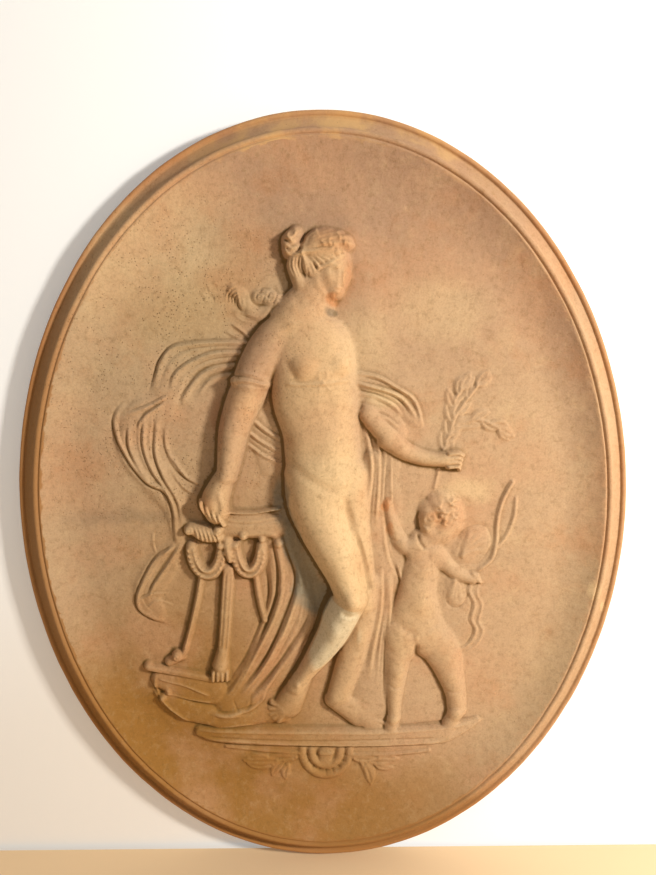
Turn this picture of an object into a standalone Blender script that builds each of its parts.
"""Oval wall plaque in fired clay, one solid.

A moulded rim stands round a shallow dish. On the dish, in relief: a standing draped figure who
leans on a tripod altar, a winged child with a bow, a flying cloak, a ledge and an ornament below.
Metres, +Z up. The flat back lies on the plane y = 0 and the relief faces -Y. The origin is the
middle of the back.
"""

import math

import bmesh
import bpy
from mathutils import Vector

# Plate
HEIGHT = 0.750
WIDTH = 0.592
FIELD_THICKNESS = 0.012
DISH_RISE = 0.0085
DISH_FLAT_SHARE = 0.72

# Rim moulding, from the outer edge inwards
BACK_CHAMFER = 0.003
EDGE_HEIGHT = 0.012
ROLL_WIDTH = 0.005
COVE_WIDTH = 0.015
BEAD_WIDTH = 0.004
BEAD_TOP = 0.0245
GROOVE_DEPTH = 0.0015
MARGIN_WIDTH = 0.013
RIM_SEGMENTS = 56

# Relief: the group is laid out on a grid of 520 units from the ledge's underside to the crown,
# and its heights on a scale of 38 units, the height of the forward knee above the field.
GROUP_HEIGHT = 0.520
GROUP_UNITS = 520
RELIEF_HEIGHT = 0.038
RELIEF_UNITS = 38
ROOT_DEPTH = 0.006

UNIT = GROUP_HEIGHT / GROUP_UNITS
LIFT = RELIEF_HEIGHT / RELIEF_UNITS

CLAY_COLOUR = (0.66, 0.40, 0.23, 1.0)
CLAY_ROUGHNESS = 0.9


def new_collection(name):
    collection = bpy.data.collections.new(name)
    bpy.context.scene.collection.children.link(collection)
    return collection


def clay():
    material = bpy.data.materials.new("fired clay")
    material.use_nodes = True
    shader = material.node_tree.nodes["Principled BSDF"]
    shader.inputs["Base Color"].default_value = CLAY_COLOUR
    shader.inputs["Roughness"].default_value = CLAY_ROUGHNESS
    shader.inputs["Metallic"].default_value = 0.0
    return material


def loft(name, rings, collection):
    """One closed body through rings that all have as many points, with a flat cap at each end."""
    bm = bmesh.new()
    rows = [[bm.verts.new(point) for point in ring] for ring in rings]
    for row, after in zip(rows, rows[1:]):
        for i, vertex in enumerate(row):
            j = (i + 1) % len(row)
            bm.faces.new((vertex, row[j], after[j], after[i]))
    bm.faces.new(rows[0])
    bm.faces.new(rows[-1])
    bmesh.ops.recalc_face_normals(bm, faces=bm.faces)
    mesh = bpy.data.meshes.new(name)
    bm.to_mesh(mesh)
    bm.free()
    body = bpy.data.objects.new(name, mesh)
    collection.objects.link(body)
    return body


# Plate and rim

MARGIN_INSET = ROLL_WIDTH + COVE_WIDTH + BEAD_WIDTH + MARGIN_WIDTH
DISH_HALF_WIDTH = WIDTH / 2 - MARGIN_INSET
DISH_HALF_HEIGHT = HEIGHT / 2 - MARGIN_INSET


def dish(x, z):
    """Height of the bare field above the wall: flat in the middle, then an easy rise to the rim."""
    share = math.hypot(x / DISH_HALF_WIDTH, z / DISH_HALF_HEIGHT)
    t = min(max((share - DISH_FLAT_SHARE) / (1 - DISH_FLAT_SHARE), 0.0), 1.0)
    return FIELD_THICKNESS + DISH_RISE * t * t * (3 - 2 * t)


def rim_profile():
    """(inset from the outer edge, height above the wall) from the back edge to the margin."""
    points = [(BACK_CHAMFER, 0.0), (0.0, BACK_CHAMFER)]
    roll = ROLL_WIDTH / 2
    for degrees in (0, 50, 95, 145):
        a = math.radians(degrees)
        points.append((roll * (1 - math.cos(a)), EDGE_HEIGHT + roll * math.sin(a)))
    bead = BEAD_WIDTH / 2
    shoulder = BEAD_TOP - bead
    for t in (0.0, 0.5, 0.8, 1.0):
        rise = 1 - math.sqrt(1 - t * t)
        points.append((ROLL_WIDTH + COVE_WIDTH * t, EDGE_HEIGHT + (shoulder - EDGE_HEIGHT) * rise))
    for degrees in (50, 100, 150):
        a = math.radians(degrees)
        points.append((ROLL_WIDTH + COVE_WIDTH + bead * (1 - math.cos(a)), shoulder + bead * math.sin(a)))
    points.append((ROLL_WIDTH + COVE_WIDTH + BEAD_WIDTH, BEAD_TOP - bead - GROOVE_DEPTH))
    points.append((MARGIN_INSET, FIELD_THICKNESS + DISH_RISE))
    return points


def oval(half_width, half_height, height):
    step = math.tau / RIM_SEGMENTS
    return [
        (half_width * math.cos(i * step), -height, half_height * math.sin(i * step))
        for i in range(RIM_SEGMENTS)
    ]


def make_plate(collection):
    rings = [oval(WIDTH / 2 - inset, HEIGHT / 2 - inset, height) for inset, height in rim_profile()]
    for step in (0.75, 0.5, 0.25, 0.0):
        share = DISH_FLAT_SHARE + (1 - DISH_FLAT_SHARE) * step
        across = DISH_HALF_WIDTH * share
        rings.append(oval(across, DISH_HALF_HEIGHT * share, dish(across, 0.0)))
    return loft("plaque", rings, collection)


# Relief bodies. A station is (x, z, half width, height above the field), in the layout's units.

def blend(stations, steps):
    """A smooth run through the stations, with this many steps from each to the next."""
    run = []
    for i in range(len(stations) - 1):
        before = stations[max(i - 1, 0)]
        a, b = stations[i], stations[i + 1]
        after = stations[min(i + 2, len(stations) - 1)]
        for k in range(steps):
            t = k / steps
            run.append(tuple(
                0.5 * (2 * q + (r - p) * t + (2 * p - 5 * q + 4 * r - s) * t * t
                       + (3 * q - p - 3 * r + s) * t ** 3)
                for p, q, r, s in zip(before, a, b, after)
            ))
    run.append(tuple(stations[-1]))
    return run


def round_ends(run):
    """The run with a rounded end added past its first and last station."""
    def nose(end, inner):
        away = Vector((end[0] - inner[0], end[1] - inner[1])).normalized() * end[2]
        return [
            (end[0] + away.x * reach, end[1] + away.y * reach, end[2] * wide, end[3] * high)
            for reach, wide, high in ((0.62, 0.78, 0.88), (0.96, 0.34, 0.55))
        ]
    return nose(run[0], run[1])[::-1] + run + nose(run[-1], run[-2])


# A section is (share of the half width, share of the height), from one side over the top
LIMB_SECTION = ((-1.0, 0.45), (-0.74, 0.83), (0.0, 1.0), (0.74, 0.83), (1.0, 0.45))
LOW_SECTION = ((-0.92, 0.6), (0.0, 1.0), (0.92, 0.6))
FOLD_SECTION = ((-0.4, 1.0), (0.4, 1.0))


def relief(name, stations, collection, section=LIMB_SECTION, foot=1.0, steps=1, ends=True):
    """A raised form along its stations. Each section is an arch of the station's half width and
    height, on a foot of that share of its width which is rooted in the plate."""
    run = blend(stations, steps)
    if ends:
        run = round_ends(run)
    rings = []
    for i, (x, z, half_width, height) in enumerate(run):
        before, after = run[max(i - 1, 0)], run[min(i + 1, len(run) - 1)]
        along = Vector((after[0] - before[0], after[1] - before[1])).normalized()
        across = Vector((-along.y, along.x))
        ground = dish(x * UNIT, z * UNIT)
        ring = []
        for side, up in ((-foot, None), *section, (foot, None)):
            px = (x + across.x * side * half_width) * UNIT
            pz = (z + across.y * side * half_width) * UNIT
            out = ground - ROOT_DEPTH if up is None else ground + up * height * LIFT
            ring.append((px, -out, pz))
        rings.append(ring)
    return loft(name, rings, collection)


def fold(name, points, width, height, collection, steps=1):
    """A ridge of cloth through (x, z) points, thin at both ends."""
    last = len(points) - 1
    stations = []
    for i, (x, z) in enumerate(points):
        swell = 0.55 + 0.45 * math.sin(math.pi * (i + 0.5) / (last + 1))
        stations.append((x, z, width * swell, height * swell))
    return relief(name, stations, collection, section=FOLD_SECTION, steps=steps, ends=False)


# Standing figure

BODY = {
    "skull": ([(0, 270, 11, 14), (-2, 259, 23, 20), (-2, 246, 27, 22), (0, 232, 24, 21),
               (3, 222, 17, 18)], 0.9),
    "face": ([(9, 252, 15, 18), (12, 238, 17, 21), (13, 224, 14, 21), (15, 213, 9, 19)], 0.9),
    "nose": ([(23, 241, 3, 20), (27, 232, 3, 22), (26, 226, 3, 20)], 1.0),
    "hair roll": ([(-23, 240, 4, 22), (-4, 239, 5, 24), (14, 247, 5, 23), (26, 256, 4, 19)], 1.0),
    "bun": ([(-24, 271, 9, 13), (-26, 262, 13, 16), (-25, 252, 10, 14)], 0.9),
    "neck": ([(0, 226, 15, 17), (-8, 212, 16, 19), (-15, 198, 19, 20), (-18, 190, 24, 20)], 0.8),
    "trunk": ([(-17, 190, 26, 19), (-12, 176, 38, 22), (-7, 150, 42, 26), (-5, 118, 42, 25),
               (-1, 90, 38, 26), (1, 66, 38, 28), (3, 48, 39, 29), (3, 34, 39, 30)], 0.75),
    "near breast": ([(-19, 154, 12, 26), (-18, 145, 14, 29)], 1.0),
    "far breast": ([(19, 156, 10, 24), (21, 148, 11, 26)], 1.0),
    "far thigh": ([(22, 44, 27, 26), (30, 4, 24, 24), (37, -40, 20, 22), (41, -84, 16, 18)], 0.9),
    "thigh": ([(-1, 44, 37, 29), (-3, 20, 33, 31), (3, -5, 28, 33), (13, -31, 24, 34),
               (22, -55, 20, 36), (27, -75, 17, 38)], 0.7),
    "calf": ([(27, -76, 17, 37), (17, -95, 18, 32), (8, -116, 16, 27), (-6, -139, 13, 22),
              (-20, -159, 10, 18), (-30, -174, 10, 15)], 0.8),
    "forward foot": ([(-31, -178, 12, 14), (-41, -194, 12, 13), (-47, -205, 9, 9)], 1.0),
    "standing shin": ([(40, -80, 16, 17), (34, -120, 15, 16), (27, -153, 13, 14),
                       (20, -181, 12, 12)], 1.0),
    "standing foot": ([(10, -191, 12, 11), (22, -204, 13, 10), (36, -215, 12, 9),
                       (46, -220, 8, 7)], 1.0),
    "upper arm": ([(-34, 177, 16, 19), (-48, 166, 19, 21), (-59, 150, 18, 22),
                   (-67, 134, 18, 22)], 0.75),
    "armband": ([(-61, 147, 19, 23), (-65, 138, 19, 24)], 0.8),
    "forearm": ([(-69, 130, 19, 22), (-79, 108, 17, 22), (-86, 86, 15, 22), (-89, 65, 13, 22),
                 (-92, 46, 10, 21)], 0.7),
    "fist": ([(-99, 36, 12, 21), (-105, 20, 14, 21), (-109, 4, 10, 17)], 1.0),
    "far forearm": ([(50, 96, 11, 8), (67, 77, 11, 10), (84, 65, 9, 11), (102, 60, 8, 11),
                     (118, 60, 8, 11)], 1.0),
    "far hand": ([(120, 59, 9, 11), (130, 58, 8, 9)], 1.0),
}

# Winged child

CHILD = {
    "child's head": ([(115, 25, 13, 10), (116, 14, 20, 13), (117, 0, 22, 14),
                      (118, -15, 15, 12)], 1.0),
    "child's trunk": ([(98, -30, 20, 11), (92, -50, 19, 13), (92, -76, 19, 14), (90, -100, 27, 14),
                       (88, -122, 31, 13)], 0.9),
    "child's raised arm": ([(86, -32, 11, 11), (74, -25, 9, 11), (67, -8, 8, 10), (64, 8, 7, 9),
                            (63, 20, 6, 8)], 1.0),
    "child's near leg": ([(76, -124, 19, 14), (73, -150, 14, 15), (71, -175, 10, 15),
                          (70, -198, 8, 13), (71, -211, 8, 12)], 0.85),
    "child's near foot": ([(70, -216, 10, 12), (68, -230, 9, 9)], 1.0),
    "child's far leg": ([(106, -122, 21, 13), (118, -140, 21, 13), (126, -163, 17, 12),
                         (134, -185, 14, 11), (138, -205, 12, 10)], 0.85),
    "child's far foot": ([(135, -212, 9, 10), (126, -228, 8, 7)], 1.0),
    "child's bow arm": ([(112, -36, 9, 10), (130, -56, 7, 8), (150, -64, 6, 8)], 1.0),
    "upper wing": ([(122, -44, 6, 7), (138, -30, 10, 7), (156, -18, 8, 6)], 1.0),
    "lower wing": ([(124, -56, 8, 6), (134, -70, 9, 7), (140, -82, 7, 6)], 1.0),
}

# Tripod altar and its plinth

ALTAR = {
    "bowl lip": [(-98, 9, 4, 19), (-44, 8, 4, 17)],
    "bowl": [(-98, -3, 10, 15), (-48, -3, 10, 13)],
    "scroll cushion": [(-124, -9, 8, 13), (-112, -15, 9, 15), (-101, -20, 7, 13)],
    "near ram's head": [(-92, -6, 8, 18), (-90, -22, 8, 20), (-87, -34, 5, 16)],
    "far ram's head": [(-72, -8, 8, 16), (-69, -20, 8, 18), (-67, -30, 5, 14)],
    "side scroll": [(-52, -14, 6, 12), (-44, -22, 6, 10)],
    "near leg": [(-119, -50, 5, 10), (-123, -80, 5, 9), (-131, -116, 5, 9),
                  (-140, -134, 6, 10)],
    "near leg's scroll": [(-144, -136, 7, 10), (-155, -145, 8, 10)],
    "middle leg": [(-91, -46, 6, 14), (-95, -80, 6, 13), (-98, -118, 7, 13),
                    (-102, -144, 9, 13)],
    "middle leg's paw": [(-104, -150, 10, 14), (-108, -162, 9, 11)],
    "far leg": [(-66, -50, 4, 8), (-63, -78, 4, 8), (-59, -102, 4, 8)],
    "plinth top": [(-180, -151, 5, 8), (-148, -156, 5, 9), (-114, -162, 5, 10)],
    "plinth side": [(-170, -165, 9, 5), (-144, -176, 13, 7), (-120, -184, 15, 8)],
    "plinth base": [(-164, -186, 8, 5), (-144, -200, 11, 7), (-124, -208, 12, 7)],
}

# Ledge, with the low acanthus leaves below it

LEDGE = {
    "ledge": [(-132, -226, 7, 6), (-100, -230, 10, 8), (0, -234, 11, 9), (108, -234, 11, 9),
               (138, -226, 8, 7), (156, -216, 4, 5)],
    "ledge moulding left": [(-100, -245, 3, 5), (-28, -253, 4, 6)],
    "ledge moulding right": [(28, -255, 4, 6), (106, -252, 3, 5)],
    "left leaf": [(-32, -258, 5, 4), (-52, -263, 8, 5), (-68, -262, 5, 4), (-84, -266, 3, 2)],
    "left leaf's lobe": [(-44, -264, 6, 4), (-52, -273, 6, 4), (-50, -279, 3, 2)],
    "right leaf": [(30, -260, 5, 4), (46, -264, 8, 5), (58, -265, 5, 4), (69, -267, 3, 2)],
    "right leaf's lobe": [(38, -266, 6, 4), (48, -280, 6, 4), (53, -289, 3, 2)],
}

# Cloth: ridges are (points, half width, height). The masses behind them are bodies.

CLOTH_MASSES = {
    "cloth by the altar": [(-46, -30, 16, 4), (-48, -70, 18, 5), (-58, -115, 22, 6),
                            (-74, -155, 26, 7), (-92, -190, 24, 7)],
    "cloth hem": [(-104, -210, 13, 7), (-80, -208, 12, 6), (-58, -205, 11, 6)],
    "cloth behind the legs": [(-22, -90, 12, 5), (-30, -130, 14, 6), (-52, -170, 14, 6)],
    "cloth at the hip": [(48, 60, 9, 8), (46, 20, 12, 9), (50, -20, 13, 9), (54, -60, 13, 8),
                          (50, -110, 14, 8), (44, -160, 16, 7), (40, -200, 18, 6)],
    "cloth over the arm": [(34, 138, 8, 6), (56, 132, 10, 6), (76, 118, 10, 5),
                            (88, 100, 6, 4)],
    "shoulder knot": [(-34, 207, 9, 8), (-48, 214, 8, 8), (-62, 216, 6, 6)],
}
RIBBON_LOOP = (-75, 209, 13)

FOLDS = {
    "cloak upper edge": ([(-62, 172), (-93, 173), (-134, 170), (-149, 158), (-158, 138)], 4, 5),
    "cloak fold 1": ([(-66, 163), (-103, 162), (-133, 148), (-144, 126)], 4, 4),
    "cloak fold 2": ([(-72, 153), (-106, 147), (-128, 126)], 4, 4),
    "cloak fan 1": ([(-148, 117), (-169, 105), (-176, 90)], 3, 3),
    "cloak outer edge": ([(-186, 119), (-197, 103), (-196, 85), (-188, 66), (-180, 52), (-168, 38),
                          (-152, 28), (-144, 10), (-145, -10), (-144, -26)], 4, 5),
    "cloak fold 3": ([(-156, 112), (-160, 72), (-153, 45), (-140, 18), (-138, -4)], 4, 4),
    "cloak fold 4": ([(-180, 92), (-179, 72), (-172, 52), (-160, 38)], 3, 4),
    "cloak fold 5": ([(-146, 66), (-133, 46), (-117, 36)], 3, 3),
    "flying end edge": ([(-140, -26), (-162, -36), (-178, -59), (-187, -83), (-180, -98),
                         (-156, -108)], 4, 4),
    "flying end fold": ([(-138, -22), (-154, -46), (-170, -70)], 4, 4),
    "fold between arm and trunk 1": ([(-74, 110), (-57, 93), (-39, 81)], 3, 4),
    "fold between arm and trunk 2": ([(-74, 84), (-57, 72), (-40, 61)], 3, 4),
    "altar cloth fold 1": ([(-30, -30), (-26, -70), (-32, -112), (-48, -150), (-70, -184)], 4, 9),
    "altar cloth fold 2": ([(-44, -40), (-40, -80), (-48, -122), (-70, -162), (-94, -194)], 4, 10),
    "altar cloth fold 3": ([(-58, -50), (-56, -96), (-72, -138), (-100, -182)], 4, 9),
    "arm cloth edge": ([(31, 146), (52, 141), (72, 129), (88, 116), (95, 92)], 3, 8),
    "arm cloth fold": ([(30, 128), (54, 122), (76, 104)], 3, 7),
    "hip fold 1": ([(44, 70), (42, 30), (44, -20), (48, -70)], 3, 11),
    "hip fold 2": ([(56, 60), (57, 20), (60, -20), (64, -55)], 3, 10),
    "hip fold 3": ([(52, -70), (50, -115), (40, -165), (30, -198)], 4, 10),
    "hip fold 4": ([(60, -80), (58, -125), (58, -175), (60, -208)], 3, 9),
    "bow upper limb": ([(186, 33), (174, 16), (171, -10), (168, -36), (152, -56)], 4, 6),
    "bow lower limb": ([(150, -60), (145, -84), (152, -106), (150, -122)], 4, 5),
    "branch": ([(112, 36), (117, 66), (123, 92), (131, 114), (136, 134)], 3, 6),
    "branch spray 1": ([(126, 98), (142, 114), (156, 138)], 3, 4),
    "branch spray 2": ([(123, 88), (146, 96), (169, 89)], 3, 4),
}

LEAF_PLACES = ((132, 118, 100), (152, 136, 60), (150, 92, -20), (140, 108, 30), (108, 78, 130))
LEAF_LENGTH = 0.016
LEAF_WIDTH = 0.005
LEAF_HEIGHT = 0.004


def make_figures(collection):
    for table in (BODY, CHILD):
        for name, (stations, foot) in table.items():
            relief(name, stations, collection, foot=foot)
    for table in (ALTAR, LEDGE, CLOTH_MASSES):
        for name, stations in table.items():
            relief(name, stations, collection, section=LOW_SECTION)


def make_cloth(collection):
    for name, (points, width, height) in FOLDS.items():
        fold(name, points, width, height, collection)
    x, z, radius = RIBBON_LOOP
    loop = [
        (x + radius * math.cos(math.radians(a)), z + radius * 0.8 * math.sin(math.radians(a)))
        for a in range(20, 341, 64)
    ]
    fold("ribbon loop", loop, 5, 6, collection)


def make_leaves(collection):
    length, width, height = LEAF_LENGTH / UNIT, LEAF_WIDTH / UNIT, LEAF_HEIGHT / LIFT
    for x, z, degrees in LEAF_PLACES:
        a = math.radians(degrees)
        stations = [
            (x + length * t * math.cos(a), z + length * t * math.sin(a), width * wide, height)
            for t, wide in ((-0.5, 0.3), (0.0, 1.0), (0.5, 0.3))
        ]
        relief("leaf", stations, collection, section=FOLD_SECTION, ends=False)


GARLANDS = ((-114, -32, 15, 20), (-72, -30, 14, 20))
ROSETTE = (0, -256)
ROSETTE_RINGS = ((22, 5, 7), (9, 5, 6))


def make_swags(collection):
    """The garlands that hang from the altar and the half rosette are arcs of thick ridges."""
    for x, z, across, drop in GARLANDS:
        stations = []
        for degrees in range(170, 371, 40):
            a = math.radians(degrees)
            stations.append((x + across * math.cos(a), z + drop * math.sin(a), 6, 12))
        relief("garland", stations, collection, section=LOW_SECTION)
    x, z = ROSETTE
    for radius, width, height in ROSETTE_RINGS:
        stations = []
        for degrees in range(180, 361, 30):
            a = math.radians(degrees)
            stations.append((x + radius * math.cos(a), z + radius * math.sin(a), width, height))
        relief("rosette ring", stations, collection, section=LOW_SECTION)


def main():
    for thing in list(bpy.data.objects):
        bpy.data.objects.remove(thing, do_unlink=True)
    parts = new_collection("decorative wall plaque")
    bodies = new_collection("relief bodies")
    plate = make_plate(parts)
    make_figures(bodies)
    make_cloth(bodies)
    make_leaves(bodies)
    make_swags(bodies)
    for body in bodies.objects:
        body.hide_render = True
        body.display_type = "WIRE"
    join = plate.modifiers.new("relief", "BOOLEAN")
    join.operation = "UNION"
    join.operand_type = "COLLECTION"
    join.collection = bodies
    join.solver = "EXACT"
    join.use_self = True
    plate.data.materials.append(clay())


main()
